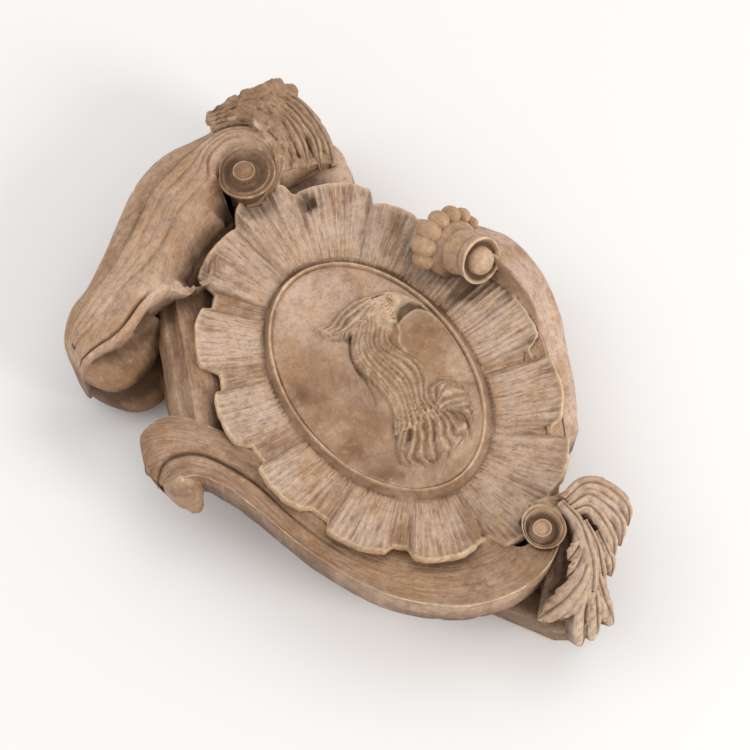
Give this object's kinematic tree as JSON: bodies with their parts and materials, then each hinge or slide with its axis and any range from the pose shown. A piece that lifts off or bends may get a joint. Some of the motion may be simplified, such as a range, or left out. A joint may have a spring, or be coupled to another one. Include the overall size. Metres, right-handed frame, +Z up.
{
  "type": "wall cartouche",
  "caption": "Carved stone rococo wall cartouche: an oval medallion with a bird of prey's head in low relief, a fluted ruffle round it, and three scrolls with acanthus leaves.",
  "frame": {"origin": "on the flat back that rests against the wall, behind the centre of the oval medallion", "axes": "+Z up along the medallion's long axis, -Y out from the wall towards the viewer, +X to the viewer's right"},
  "size_m": [0.249, 0.0874, 0.3723],
  "materials": {
    "carved_stone": "hand carved, worn matt, with a violet-grey patina on the ruffle, brown dirt in the hollows and cream worn edges"
  },
  "bodies": {
    "root": {"cartouche": "carved_stone"}
  },
  "joints": []
}
